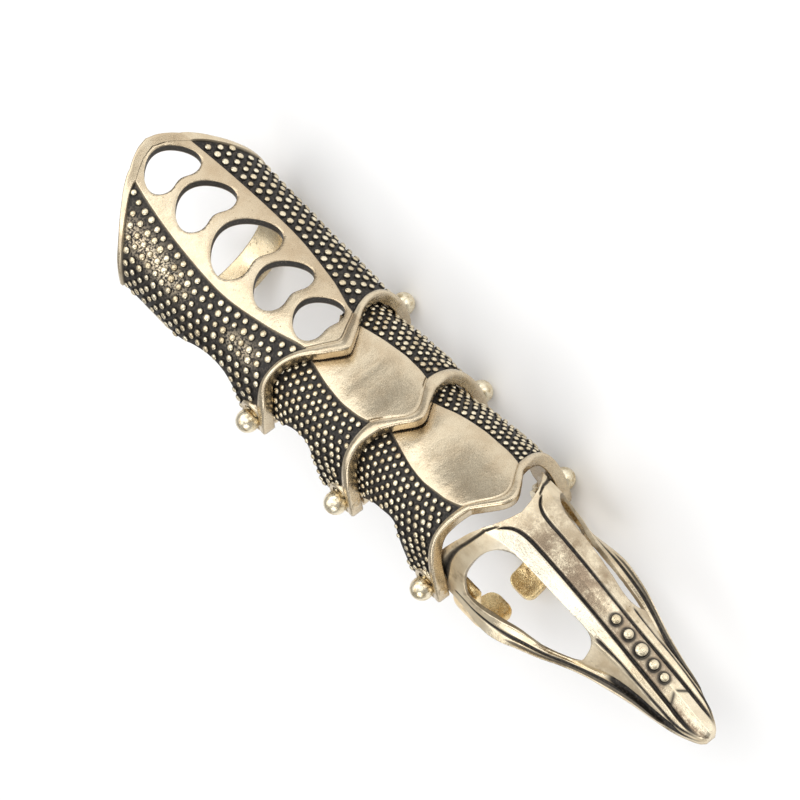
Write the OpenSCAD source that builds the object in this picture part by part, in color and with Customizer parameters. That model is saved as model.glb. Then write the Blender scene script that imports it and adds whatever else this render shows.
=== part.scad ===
/* [Joints] */
// Distance between two hinge axes
joint_pitch = 14.1; // [13.8:0.1:14.6]
// Height of the hinge axes above the bands' underside
rivet_h = 11.3; // [11.2:0.1:12]
// Radius of a rivet's round head
rivet_head_r = 1.35; // [1.25:0.05:1.45]
// Radius of a rivet's shank
rivet_shank_r = 0.8; // [0.6:0.05:0.85]
// Play round a shank in the inner plate's hole
pin_play = 0.06; // [0.04:0.01:0.1]
// Gap between two plates that turn on each other
plate_gap = 0.3; // [0.25:0.05:0.4]

/* [Plates] */
// Thickness of the metal under the raised parts
wall = 1; // [0.8:0.05:1.1]
// Height of the raised strips, borders and rims
relief = 0.35; // [0.2:0.05:0.4]
// Extra height of a rim's front lip
lip = 0.15; // [0:0.05:0.25]
// Squareness of the arched sections, 2 is an ellipse
squareness = 2.6; // [2.5:0.1:2.8]
// Radius of the lugs round the rivets
lug_r = 2.1; // [2:0.05:2.4]

/* [Finger bands] */
// Inside diameter of the knuckle band
knuckle_bore_d = 17; // [16.6:0.1:17.2]
// Width of the knuckle band along the finger
knuckle_band_w = 4; // [3:0.2:4.4]
// Inside diameter of the open fingertip band
tip_bore_d = 12; // [11.8:0.1:12.2]
// Width of the open fingertip band along the finger
tip_band_w = 3.8; // [3:0.2:4.4]
// Gap between the two ends of the fingertip band
tip_band_gap = 2; // [1.5:0.1:4]
// Thickness of both bands
band_t = 1; // [0.9:0.05:1.1]

/* [Hidden] */

gold = [0.80, 0.72, 0.55];
old_gold = [0.70, 0.58, 0.38];

// Length from the knuckle plate's point to the first hinge axis, and from the last axis to the tip
knuckle_len = 30.9;
tip_len = 35.1;
total_len = knuckle_len + 2 * joint_pitch + tip_len;
// The ring is drawn with its bands' underside at zero and the finger along X, then laid on its side.
// Hinge axes along X, with the whole length centred on zero
axis_x = [for (k = [0:2]) knuckle_len - total_len / 2 + k * joint_pitch];
// Outer faces of the lugs at the three hinges, measured from the middle plane
lug_face = [10.6, 9.85, 9.55];
// Flat outer faces of the ears that turn inside those lugs
ear_face = [for (f = lug_face) f - relief - wall - plate_gap];
// How far a head's middle stands out from its lug's face
head_out = 0.72;
// Radii of the middle plates' ears and of the claw's ears
ear_r = 2.1;
claw_ear_r = 1.5;
tail_r = 1.15;
tail_t = 0.4;
// Gap between a rivet's tail and the inner plate's ear
tail_gap = 0.14;
cup_r = rivet_head_r + 0.12;
eps = 0.02;
// Slant of the wall between a raised part and the field beside it
step_s = 0.03;
step_x = 0.15;

// Knuckle plate, measured from the first axis:
// x, half width, height of the top, height of the lower edge, half width of the raised strip
knuckle_sections = [
  [-31.0, 10.40, 9.10, -0.40, 3.10],
  [-28.0, 10.45, 8.25, -0.40, 3.95],
  [-23.0, 10.45, 7.65, -0.40, 4.75],
  [-18.0, 10.40, 7.35, -0.35, 5.25],
  [-13.0, 10.35, 7.25, 0.20, 5.50],
  [-10.4, 10.30, 7.30, 1.70, 5.45],
  [-8.0, 10.30, 7.45, 2.50, 5.20],
  [-5.5, 10.28, 7.70, 2.40, 4.80],
  [-3.8, 10.25, 7.90, 1.30, 4.50],
  [-2.2, 10.25, 8.00, -0.70, 4.10],
  [0.0, 10.25, 8.15, -1.00, 3.50],
  [4.6, 10.25, 8.75, -1.00, 2.90]];
// Its outline by the place across, where 0 is the middle, 1 the strip's edge and 2 the lower edge:
// place, x of the rear edge, of the rear border's inner line, of the rim's inner line, of the rim's front
knuckle_outline = [
  [0.00, -30.90, -30.00, 3.20, 4.60],
  [0.50, -30.45, -29.40, 2.10, 3.50],
  [1.00, -29.30, -28.00, 1.00, 2.20],
  [1.10, -28.40, -27.30, 0.30, 1.20],
  [1.25, -26.80, -25.90, -0.28, 0.45],
  [1.50, -24.80, -24.10, -0.35, 0.40],
  [1.75, -23.70, -23.15, 0.35, 1.60],
  [2.00, -23.00, -22.50, 1.10, 2.20]];

// Rear middle plate, measured from the first axis, with the same columns
rear_sections = [
  [-2.6, 8.95, 6.10, 0.30, 2.60],
  [0.0, 8.95, 6.30, -0.80, 3.00],
  [2.3, 9.00, 6.80, 0.60, 3.50],
  [5.0, 9.40, 7.15, 2.70, 4.10],
  [7.2, 9.55, 7.45, 3.20, 4.40],
  [8.4, 9.60, 7.70, 2.70, 4.50],
  [9.7, 9.60, 7.95, 1.10, 4.45],
  [11.0, 9.58, 8.25, -0.80, 4.35],
  [12.6, 9.52, 8.70, -1.00, 4.05],
  [14.1, 9.50, 9.05, -1.00, 3.90],
  [16.8, 9.50, 9.70, -1.00, 3.50]];
// Its outline, rear edge from the first axis and rim from the second
rear_outline = [
  [0.00, 0.30, 0.45, 1.40, 2.65],
  [0.30, 0.25, 0.40, 0.80, 2.05],
  [0.60, 0.05, 0.20, -0.20, 1.15],
  [1.00, -0.80, -0.65, -1.50, 0.10],
  [1.25, -1.50, -1.35, -1.55, -0.45],
  [1.50, -1.90, -1.75, -1.15, -0.10],
  [1.75, -2.00, -1.85, -0.20, 1.00],
  [2.00, -2.00, -1.85, 1.10, 2.20]];

// Front middle plate, measured from the second axis, with the same columns
front_sections = [
  [-2.3, 8.20, 7.10, 0.30, 2.20],
  [0.0, 8.20, 7.45, -0.80, 2.70],
  [2.2, 8.25, 7.95, 1.30, 3.30],
  [3.6, 8.65, 8.30, 2.90, 3.75],
  [5.4, 8.95, 8.55, 3.80, 4.20],
  [7.6, 9.15, 8.95, 4.20, 4.50],
  [8.8, 9.22, 9.25, 3.00, 4.50],
  [10.0, 9.25, 9.60, 1.30, 4.45],
  [11.3, 9.25, 10.00, -0.70, 4.40],
  [13.0, 9.20, 10.65, -1.00, 4.10],
  [14.1, 9.20, 11.10, -1.00, 3.80],
  [17.6, 9.20, 12.50, -1.00, 3.30]];
// Its outline, rear edge from the second axis and rim from the third
front_outline = [
  [0.00, -2.30, -2.15, 2.20, 3.40],
  [0.35, -2.30, -2.15, 1.60, 2.85],
  [0.70, -2.30, -2.15, 0.50, 1.75],
  [1.00, -2.20, -2.05, -0.45, 0.60],
  [1.25, -1.90, -1.75, -0.95, -0.25],
  [1.50, -1.60, -1.45, -0.95, -0.35],
  [1.75, -1.70, -1.55, -0.20, 0.60],
  [2.00, -2.00, -1.85, 1.10, 2.20]];

// Heart-shaped holes of the strip: x of the round rear end, of the lobes' front, half width, notch depth
hearts = [
  [-29.30, -24.05, 3.45, 0.80],
  [-23.75, -18.05, 3.70, 0.95],
  [-17.35, -10.55, 4.35, 1.15],
  [-10.35, -4.60, 3.65, 0.90],
  [-4.00, 1.10, 3.05, 0.50]];
// Half width of a heart's notch as a share of the heart's half width
notch_w = 0.36;

// Claw sections from the last axis: x, height of the ridge, then half width and height of the groove
// beside the ridge, of the shoulder, of the side wall, of the flange's inner line and of its outer edge
claw_sections = [
  [-2.0, 11.50, 3.60, 11.25, 4.40, 10.75, 6.50, 8.60, 7.90, 2.40, 7.90, -0.60],
  [2.0, 11.60, 3.50, 11.35, 4.30, 10.90, 6.50, 8.60, 7.95, 2.20, 8.00, -0.60],
  [3.8, 11.65, 3.25, 11.35, 4.20, 10.95, 6.48, 8.60, 7.95, 2.10, 8.05, -0.60],
  [5.0, 11.70, 2.20, 11.55, 3.95, 11.05, 6.45, 8.60, 7.90, 2.00, 8.15, -0.60],
  [6.0, 11.70, 1.72, 11.60, 3.75, 11.05, 6.43, 8.55, 7.80, 1.95, 8.30, -0.60],
  [7.4, 11.70, 1.50, 11.55, 3.60, 11.00, 6.40, 8.50, 7.50, 1.90, 8.45, -0.45],
  [9.0, 11.55, 1.47, 11.40, 3.55, 10.85, 6.30, 8.35, 7.15, 1.95, 8.50, 0.00],
  [11.0, 11.20, 1.44, 11.05, 3.48, 10.55, 6.10, 8.10, 6.75, 2.25, 8.35, 1.00],
  [13.0, 10.80, 1.42, 10.65, 3.38, 10.05, 5.80, 7.80, 6.35, 2.60, 7.95, 2.20],
  [15.8, 10.15, 1.40, 9.95, 3.14, 9.20, 5.20, 7.20, 5.80, 3.20, 7.20, 3.30],
  [18.0, 9.55, 1.38, 9.35, 2.92, 8.45, 4.60, 6.90, 5.22, 3.95, 6.45, 4.15],
  [20.5, 8.85, 1.36, 8.65, 2.75, 7.90, 3.90, 6.50, 4.50, 4.55, 5.55, 4.55],
  [23.4, 8.10, 1.36, 7.85, 2.62, 7.45, 3.30, 6.20, 3.60, 4.95, 4.65, 4.55],
  [26.5, 7.35, 1.38, 7.05, 2.60, 6.80, 2.95, 5.90, 3.00, 5.00, 3.85, 4.60],
  [29.4, 6.55, 1.40, 6.20, 2.46, 6.00, 2.75, 5.40, 2.75, 4.90, 3.25, 4.55],
  [32.0, 5.80, 1.42, 5.35, 2.20, 5.20, 2.35, 4.90, 2.40, 4.65, 2.55, 4.40],
  [33.8, 5.35, 1.30, 5.00, 1.55, 4.85, 1.60, 4.60, 1.65, 4.40, 1.70, 4.20],
  [34.7, 5.10, 0.90, 4.90, 1.00, 4.75, 1.05, 4.50, 1.10, 4.30, 1.12, 4.15],
  [35.1, 4.75, 0.45, 4.70, 0.50, 4.60, 0.55, 4.45, 0.60, 4.30, 0.62, 4.20]];
// Rear edge of the claw by the place across: 0 ridge, 1 groove, 2 shoulder, 3 flange's inner line, 4 edge;
// then how far in front of it the rear groove starts and ends
claw_rear = [
  [0.0, 4.45, 0.20, 0.60],
  [0.5, 4.05, 0.20, 0.60],
  [1.0, 3.42, 0.25, 0.70],
  [1.5, 3.10, 0.20, 0.65],
  [2.0, 2.80, 0.20, 0.65],
  [2.2, 2.05, 0.50, 1.00],
  [2.4, 1.30, 0.60, 1.15],
  [2.6, 0.45, 0.65, 1.30],
  [2.8, -0.37, 0.80, 1.80],
  [3.0, -0.90, 0.90, 2.60],
  [3.5, -1.10, 0.90, 2.60],
  [4.0, -1.20, 0.90, 2.60]];
// Rows of the claw as shares of the way from the end of its rear groove to its tip
claw_rows = [0, 0.03, 0.07, 0.12, 0.17, 0.23, 0.30, 0.37, 0.44, 0.50, 0.54, 0.58, 0.64, 0.70, 0.76, 0.82,
  0.88, 0.92, 0.95, 0.975, 1];
// Outline of a side opening, seen along its slanting cut: x and height
claw_opening = [
  [4.5, -2.4], [3.85, -1.3], [3.54, 0], [3.7, 1.54], [4.17, 3.32], [4.99, 5.02], [6, 6.1],
  [7.25, 6.7], [8.5, 6.84], [9.9, 6.76], [12.6, 6.36], [15.8, 5.74], [17.8, 5.3], [18.8, 4.93],
  [19.4, 4.4], [19.7, 3.7], [19.75, 2.8], [19.6, 1.7], [19, 0.95], [17.6, 0.15], [14.6, -1.1],
  [11.6, -1.6], [9.4, -2.4], [7.5, -2.8], [6.3, -2.85], [5.2, -2.7]];
// Slant of that cut above the plane of the bands' underside
opening_slant = 35;
groove_w = 0.22;
groove_depth = 0.3;
rear_wall = 0.7 * wall;
flange_taper = 0.65;
// Depth of the valley between the flange and the web in front of the openings
valley_depth = 0.6;
// The claw's wall at the ears, behind the openings' front ends, and where the tip turns solid
claw_wall = 1.4;
solid_from = 18;
solid_to = 23;
// Cast beads along the ridge, from the last axis, and their radius
bead_x = [19.7, 21.7, 23.8, 25.8, 27.5];
bead_r = 0.62;

// Heights of the two bands' middles above their underside
knuckle_bore_z = knuckle_bore_d / 2 + band_t;
tip_bore_z = tip_bore_d / 2 + band_t;
// Rear faces of the bands, from the first and the last axis
knuckle_band_x = -21;
tip_band_x = 1.3;

// The ring lies on its right side: on the right rivet heads of the first and last hinge, which lie on a
// line that slopes inwards, and on the front edge of the fingertip band, which is rolled down to the floor
head_slope = (lug_face[0] - lug_face[2]) / (2 * joint_pitch);
band_side = lug_face[2] + head_out - head_slope * (tip_band_x + tip_band_w);
band_drop = rivet_h - tip_bore_z;
lie_roll = atan2(band_drop, band_side)
  + asin((tip_bore_d / 2 + band_t - rivet_head_r) / norm([band_side, band_drop]));
lie_pitch = atan(head_slope * sin(lie_roll));
// Lift that sets the first head on the floor, and the shift that brings the box's middle to the origin
lie_lift = rivet_head_r + sin(lie_pitch) * axis_x[0]
  + cos(lie_pitch) * (sin(lie_roll) * (lug_face[0] + head_out) - cos(lie_roll) * rivet_h);
lie_shift = [-0.18, -9.52, lie_lift];
module lying() {
  translate(lie_shift) rotate([-lie_roll, lie_pitch, 0]) children();
}

// Value of column c at x, on a smooth curve through the rows of a table
function row_at(x, t, i = 0) = i >= len(t) - 2 || x < t[i + 1][0] ? i : row_at(x, t, i + 1);
function slope_at(t, i, c) =
  let (a = t[max(0, i - 1)], b = t[min(len(t) - 1, i + 1)]) (b[c] - a[c]) / (b[0] - a[0]);
function at(x, t, c) =
  let (i = row_at(x, t), a = t[i], b = t[i + 1], h = b[0] - a[0],
    u = min(1, max(0, (x - a[0]) / h)),
    m = slope_at(t, i, c) * h, n = slope_at(t, i + 1, c) * h)
  a[c] + u * m + u * u * (3 * (b[c] - a[c]) - 2 * m - n) + u * u * u * (2 * (a[c] - b[c]) + m + n);
function mix(a, b, u) = a + (b - a) * u;
function unit(v) = v / norm(v);
function root(v) = pow(max(0, v), 2 / squareness);

// Point of an arched plate at x and place s across: flat strip inside 1, side field from 1 to 2
function arch(x, s, t) =
  let (w = at(x, t, 1), h = at(x, t, 2), low = at(x, t, 3), half = at(x, t, 4),
    q = squareness / 2, f = max(0, abs(s) - 1),
    from = asin(pow(half / w, q)), to = low > 0 ? acos(pow(low / h, q)) : 90,
    a = f > 0 ? mix(from, to, f) : asin(pow(abs(s) * half / w, q)))
  [x, sign(s) * w * root(sin(a)), h * root(cos(a)) + min(0, low) * pow(f, 4)];
function arch_normal(x, s, t) =
  let (d = 0.01, along = arch(x + d, s, t) - arch(x - d, s, t),
    r = min(2 - d, max(d - 2, s)), across = arch(x, r + d, t) - arch(x, r - d, t))
  unit(cross(along, across));

// Closed shell between two grids of points, rows along X and columns from left to right
module shell(outer, inner) {
  rows = len(outer);
  cols = len(outer[0]);
  n = rows * cols;
  function o(i, j) = i * cols + j;
  function q(a, b, c, d) = [[a, b, c], [a, c, d]];
  faces = [
    for (i = [0:rows - 2], j = [0:cols - 2], f = q(o(i, j), o(i, j + 1), o(i + 1, j + 1), o(i + 1, j))) f,
    for (i = [0:rows - 2], j = [0:cols - 2],
      f = q(n + o(i, j), n + o(i + 1, j), n + o(i + 1, j + 1), n + o(i, j + 1))) f,
    for (j = [0:cols - 2], f = q(o(0, j), n + o(0, j), n + o(0, j + 1), o(0, j + 1))) f,
    for (j = [0:cols - 2],
      f = q(o(rows - 1, j), o(rows - 1, j + 1), n + o(rows - 1, j + 1), n + o(rows - 1, j))) f,
    for (i = [0:rows - 2], f = q(o(i, 0), o(i + 1, 0), n + o(i + 1, 0), n + o(i, 0))) f,
    for (i = [0:rows - 2],
      f = q(o(i, cols - 1), n + o(i, cols - 1), n + o(i + 1, cols - 1), o(i + 1, cols - 1))) f];
  polyhedron([for (r = outer, p = r) p, for (r = inner, p = r) p], faces);
}

// Arched plate with raised strip, rim and, if wanted, rear border.
// Its rim's lines are measured from front_x
module plate_shell(sections, outline, front_x, rear_border, body_rows) {
  half = [0, 0.35, 0.7, 1, 1 + step_s, 1.12, 1.25, 1.4, 1.55, 1.7, 1.85, 2];
  places = [for (k = [len(half) - 1:-1:1]) -half[k], for (s = half) s];
  // Each row: the two outline columns it lies between and its share of the way, then a shift in x,
  // whether it is a raised row, and its lip
  rows = [
    [1, 2, 0, 0, rear_border, 0], [1, 2, 1, 0, rear_border, 0], [1, 2, 1, step_x, false, 0],
    for (k = [1:body_rows]) [2, 3, k / (body_rows + 1), 0, false, 0],
    [3, 4, 0, -step_x, false, 0], [3, 4, 0, 0, true, 0],
    [3, 4, 0.6, 0, true, lip], [3, 4, 1, 0, true, lip]];
  function edge(s, c) = at(abs(s), outline, c) + (c > 2 ? front_x : 0);
  function x_of(r, s) = mix(edge(s, r[0]), edge(s, r[1]), r[2]) + r[3];
  function lift(r, s) = (r[4] || abs(s) <= 1 ? relief : 0) + r[5];
  outer = [for (r = rows) [for (s = places) let (x = x_of(r, s))
    arch(x, s, sections) + lift(r, s) * arch_normal(x, s, sections)]];
  inner = [for (r = rows) [for (s = places) let (x = x_of(r, s))
    arch(x, s, sections) - wall * arch_normal(x, s, sections)]];
  shell(outer, inner);
}

// Round disc across the finger on one side, from y0 out to y1
module side_disc(r, y0, y1, side) {
  translate([0, side * y0, 0]) rotate([-side * 90, 0, 0]) cylinder(r = r, h = y1 - y0, $fn = 48);
}

// Lug of hinge k with its cup for the rivet's head
module lug(k, side) {
  side_disc(lug_r, lug_face[k] - relief - wall, lug_face[k], side);
}
module lug_cup(k, side) {
  side_disc(cup_r, lug_face[k] - relief, lug_face[k] + 1, side);
  side_disc(rivet_shank_r + eps, lug_face[k] - 4, lug_face[k] + 1, side);
}
// Ear of hinge k with radius r, which turns inside the lug
module ear(k, r, side) {
  side_disc(r, ear_face[k] - wall, ear_face[k], side);
}
module ear_hole(k, side) {
  side_disc(rivet_shank_r + pin_play, ear_face[k] - wall - 1, ear_face[k] + 1, side);
}

// Heart-shaped hole: an outline with a round rear, two lobes and a shallow notch in front
module heart(h) {
  mid = (h[0] + h[1]) / 2;
  long = (h[1] - h[0]) / 2;
  // At angle a from the rear, the lobes swell towards the front and the notch draws the middle back
  function edge(a) = let (c = cos(a), s = sin(a), notch = c < 0 ? h[3] * exp(-pow(s / notch_w, 2)) : 0)
    [mid - long * c - notch + 0.12 * long * s * s, h[2] * s * (0.86 + 0.15 * (1 - c))];
  translate([0, 0, 3]) linear_extrude(9) polygon([for (k = [0:31]) edge(k * 11.25)]);
}

module knuckle_plate() {
  color(gold) lying() translate([axis_x[0], 0, rivet_h]) difference() {
    union() {
      plate_shell(knuckle_sections, knuckle_outline, 0, true, 16);
      for (side = [-1, 1]) lug(0, side);
      translate([knuckle_band_x, 0, knuckle_bore_z - rivet_h]) rotate([0, 90, 0])
        cylinder(d = knuckle_bore_d + 2 * band_t, h = knuckle_band_w, $fn = 96);
    }
    translate([knuckle_band_x - eps, 0, knuckle_bore_z - rivet_h]) rotate([0, 90, 0])
      cylinder(d = knuckle_bore_d, h = knuckle_band_w + 2 * eps, $fn = 96);
    for (side = [-1, 1]) lug_cup(0, side);
    for (h = hearts) heart(h);
  }
}

module middle_plate(k, sections, outline) {
  color(gold) lying() translate([axis_x[k], 0, rivet_h]) difference() {
    union() {
      plate_shell(sections, outline, joint_pitch, false, 9);
      for (side = [-1, 1]) {
        ear(k, ear_r, side);
        translate([joint_pitch, 0, 0]) lug(k + 1, side);
      }
    }
    for (side = [-1, 1]) {
      ear_hole(k, side);
      translate([joint_pitch, 0, 0]) lug_cup(k + 1, side);
    }
  }
}
module middle_plate_rear() { middle_plate(0, rear_sections, rear_outline); }
module middle_plate_front() { middle_plate(1, front_sections, front_outline); }

// Point of the claw at x and place s: ridge 0 to 1, top panel 1 to 2, side wall 2 to 3, flange 3 to 4
function claw_corner(x, k) = [at(x, claw_sections, 2 * k), at(x, claw_sections, 2 * k + 1)];
function claw_half(x, s) =
  let (a = [0, at(x, claw_sections, 1)], b = claw_corner(x, 1), c = claw_corner(x, 2),
    d = claw_corner(x, 3), e = claw_corner(x, 4), f = claw_corner(x, 5), u = s - floor(s))
  s < 1 ? mix(a, b, u) : s < 2 ? mix(b, c, u)
  : s < 3 ? mix(mix(c, d, u), mix(d, e, u), u) : s < 4 ? mix(e, f, u) : f;
function claw_point(x, s) = let (p = claw_half(x, abs(s))) [x, sign(s) * p[0], p[1]];
// Its normal, taken over the distance d each way
function claw_normal(x, s, d) =
  let (along = claw_point(x + d, s) - claw_point(x - d, s),
    r = min(4 - d, max(d - 4, s)), across = claw_point(x, r + d) - claw_point(x, r - d))
  unit(cross(along, across));

module claw_shell() {
  g = groove_w;
  side_g = groove_w / 1.5;
  half = [0, 0.5, 1 - g, 1, 1 + side_g, 1.5, 2 - side_g, 2, 2 + side_g, 2.3, 2.5, 2.7, 2.85, 3,
    3.2, 3.45, 3.6, 4];
  places = [for (k = [len(half) - 1:-1:1]) -half[k], for (s = half) s];
  // Rows: the rear edge, the four lines of the rear groove, then the shares of the way to the tip
  rows = [[0, 0], [1, 0], [1, 0.35], [1, 0.65], for (u = claw_rows) [2, u]];
  function x_of(r, s) =
    let (a = abs(s), rear = at(a, claw_rear, 1), from = rear + at(a, claw_rear, 2),
      to = rear + at(a, claw_rear, 3))
    r[0] == 0 ? rear : r[0] == 1 ? mix(from, to, r[1]) : mix(to, tip_len, r[1]);
  // The rear groove runs into the grooves beside the ridge; two more run along the flange and the shoulder
  function cut(r, x, s) =
    let (a = abs(s), fade = min(1, max(0, (tip_len - x) / 4)))
    r[0] == 1 && r[1] > 0 ? (a >= 1 ? groove_depth : 0)
    : r[0] == 0 || (r[0] == 1 && r[1] == 0) ? 0
    : a == 1 || a == 3.45 || (a == 2 && x > 19.5) ? groove_depth * fade
    : a == 3 && x > 19.5 ? mix(0.2, valley_depth, min(1, (x - 19.5) / 7)) * fade : 0;
  function inner_point(x, s) =
    let (p = claw_point(x, s), n = claw_normal(max(x, 0), s, 0.4), edge = claw_corner(x, 5),
      thin = x > 2.2 ? 1 - flange_taper * max(0, abs(s) - 3) : 1,
      thick = mix(rear_wall, claw_wall, min(1, max(0, (x - 4.5) / 3))),
      v = min(1, max(0, (x - solid_from) / (solid_to - solid_from))))
    mix(p - thick * thin * unit([0, n[1], n[2]]),
      [x, edge[0] * s / 4 * 0.97, edge[1] - 0.6], v * v * (3 - 2 * v));
  outer = [for (r = rows) [for (s = places) let (x = x_of(r, s))
    claw_point(x, s) - cut(r, x, s) * claw_normal(x, s, 0.2)]];
  inner = [for (r = rows) [for (s = places) inner_point(x_of(r, s), s)]];
  shell(outer, inner);
}

// Window cut through one side of the claw, along a slanting direction
module claw_window(side) {
  rotate([side * (opening_slant - 90), 0, 0]) translate([0, 0, 3]) linear_extrude(17)
    polygon([for (p = claw_opening) [p[0], -side * p[1]]]);
}

// Open band: lower half of a ring with a gap between two rounded ends, and arms up to the claw's sides
module tip_band() {
  r = tip_bore_d / 2;
  corner = 1.1;
  arm_top = 5.5;
  mid_z = tip_bore_z - rivet_h;
  translate([tip_band_x, 0, 0]) difference() {
    union() {
      translate([0, 0, mid_z]) rotate([0, 90, 0]) cylinder(r = r + band_t, h = tip_band_w, $fn = 96);
      for (side = [-1, 1]) translate([0, side * (r + 0.55) - 0.55, mid_z]) cube([tip_band_w, 1.1, arm_top]);
    }
    translate([-eps, 0, mid_z]) rotate([0, 90, 0]) cylinder(r = r, h = tip_band_w + 2 * eps, $fn = 96);
    translate([-1, -r, mid_z]) cube([tip_band_w + 2, 2 * r, 2 * r]);
    translate([-1, -tip_band_gap / 2, -rivet_h - 1]) cube([tip_band_w + 2, tip_band_gap, r]);
    for (side = [-1, 1], end = [-1, 1]) band_corner(side, end, corner);
  }
}
// Waste outside a rounded corner of the band: side across the finger, end -1 rear or 1 front
module band_corner(side, end, corner) {
  translate([end < 0 ? 0 : tip_band_w, side * tip_band_gap / 2, -rivet_h - 1]) difference() {
    translate([-corner, -corner, 0]) cube([2 * corner, 2 * corner, tip_bore_d / 2]);
    translate([-end * corner, side * corner, -1]) cylinder(r = corner, h = tip_bore_d, $fn = 32);
    translate([end < 0 ? corner - eps : -corner - 1 - eps, -2 * corner, -1])
      cube([1 + 2 * eps, 4 * corner, tip_bore_d]);
    translate([-2 * corner, side > 0 ? corner - eps : -corner - 1 - eps, -1])
      cube([4 * corner, 1 + 2 * eps, tip_bore_d]);
  }
}

module fingertip_claw() {
  color(old_gold) lying() translate([axis_x[2], 0, rivet_h]) difference() {
    union() {
      difference() {
        claw_shell();
        for (side = [-1, 1]) claw_window(side);
      }
      for (side = [-1, 1]) ear(2, claw_ear_r, side);
      for (x = bead_x) translate([x, 0, at(x, claw_sections, 1) - 0.15]) sphere(bead_r, $fn = 24);
      tip_band();
    }
    for (side = [-1, 1]) ear_hole(2, side);
  }
}

// Rivet of hinge k: round head in the lug's cup, shank through lug and ear, flat tail inside
module rivet(k, side) {
  seat = lug_face[k] - relief + eps;
  inside = ear_face[k] - wall - tail_gap;
  color(gold) lying() translate([axis_x[k], 0, rivet_h]) {
    intersection() {
      translate([0, side * (lug_face[k] + head_out), 0]) sphere(rivet_head_r, $fn = 48);
      side_disc(2 * rivet_head_r, seat, seat + 4, side);
    }
    side_disc(rivet_shank_r, inside - tail_t / 2, seat + 0.5, side);
    side_disc(tail_r, inside - tail_t, inside, side);
  }
}

knuckle_plate();
middle_plate_rear();
middle_plate_front();
fingertip_claw();
rivet(0, -1);  // rivet_knuckle_left
rivet(0, 1);  // rivet_knuckle_right
rivet(1, -1);  // rivet_middle_left
rivet(1, 1);  // rivet_middle_right
rivet(2, -1);  // rivet_tip_left
rivet(2, 1);  // rivet_tip_right
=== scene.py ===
import math
import bmesh
import bpy
import numpy as np
from mathutils import Matrix


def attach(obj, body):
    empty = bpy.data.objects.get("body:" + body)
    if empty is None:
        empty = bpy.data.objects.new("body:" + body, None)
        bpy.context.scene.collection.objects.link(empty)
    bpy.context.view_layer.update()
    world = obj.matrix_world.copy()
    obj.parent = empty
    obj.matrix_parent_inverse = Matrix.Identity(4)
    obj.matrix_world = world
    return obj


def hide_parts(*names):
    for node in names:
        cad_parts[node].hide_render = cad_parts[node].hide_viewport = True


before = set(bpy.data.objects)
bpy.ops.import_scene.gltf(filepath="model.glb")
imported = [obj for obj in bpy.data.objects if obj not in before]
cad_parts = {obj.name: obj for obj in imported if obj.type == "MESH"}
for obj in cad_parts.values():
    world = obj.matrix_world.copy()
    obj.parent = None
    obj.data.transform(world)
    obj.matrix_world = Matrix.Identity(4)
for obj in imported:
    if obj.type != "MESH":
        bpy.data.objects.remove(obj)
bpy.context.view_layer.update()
mm = 0.001
rng = np.random.default_rng(7)

# Sizes that several pieces share, in millimetres, with the finger along X and the bands' underside at zero.
# A list runs from the knuckle's hinge to the claw's
ring = {
    "axes": [-16.2, -2.1, 12.0], "axisHeight": 11.3,  # the hinges
    "wall": 1.0, "relief": 0.35, "lip": 0.15, "squareness": 2.6, "plateGap": 0.3,
    "lugFace": [10.6, 9.85, 9.55], "lugRadius": 2.1, "earRadius": 2.1, "clawEarRadius": 1.5,
    "headRadius": 1.35, "headOut": 0.72,  # the rivets' heads
    "tipBandFront": 5.1, "tipBandMiddle": 7.0,  # ahead of the last hinge, and above the underside
    "middleX": -0.18, "middleY": -9.52,  # centres the ring as it lies
}
ring["earFace"] = [f - ring["relief"] - ring["wall"] - ring["plateGap"] for f in ring["lugFace"]]
pitch = ring["axes"][1] - ring["axes"][0]


# The ring lies on its right side, on two rivet heads and the fingertip band's front edge: rolled about the
# finger till the band meets the floor beside the heads, pitched by the slope between the heads, then lifted
def layDown():
    head = ring["lugFace"][0] + ring["headOut"]
    slope = (ring["lugFace"][0] - ring["lugFace"][2]) / (ring["axes"][2] - ring["axes"][0])
    beside = ring["lugFace"][2] + ring["headOut"] - slope * ring["tipBandFront"]
    below = ring["axisHeight"] - ring["tipBandMiddle"]
    roll = math.atan2(below, beside) + math.asin((ring["tipBandMiddle"] - ring["headRadius"])
                                                 / math.hypot(beside, below))
    tilt = math.atan(slope * math.sin(roll))
    c, r, d, t = math.cos(roll), math.sin(roll), math.cos(tilt), math.sin(tilt)
    turn = np.array([[d, 0, t], [0, 1, 0], [-t, 0, d]]) @ np.array([[1, 0, 0], [0, c, r], [0, -r, c]])
    first = turn @ [ring["axes"][0], head, ring["axisHeight"]]
    return turn, np.array([ring["middleX"], ring["middleY"], ring["headRadius"] - first[2]])


lieTurn, lieShift = layDown()


# Shader maths: a Wire is a socket, and each operation on it adds a Math node
class Wire:
    def __init__(self, finish, socket):
        self.finish, self.socket = finish, socket

    def maths(self, operation, *values):
        return self.finish.node("ShaderNodeMath", {"operation": operation}, dict(enumerate(values)))

    def __add__(self, other): return self.maths("ADD", self, other)
    def __radd__(self, other): return self.maths("ADD", other, self)
    def __sub__(self, other): return self.maths("SUBTRACT", self, other)
    def __rsub__(self, other): return self.maths("SUBTRACT", other, self)
    def __mul__(self, other): return self.maths("MULTIPLY", self, other)
    def __rmul__(self, other): return self.maths("MULTIPLY", other, self)


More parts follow.
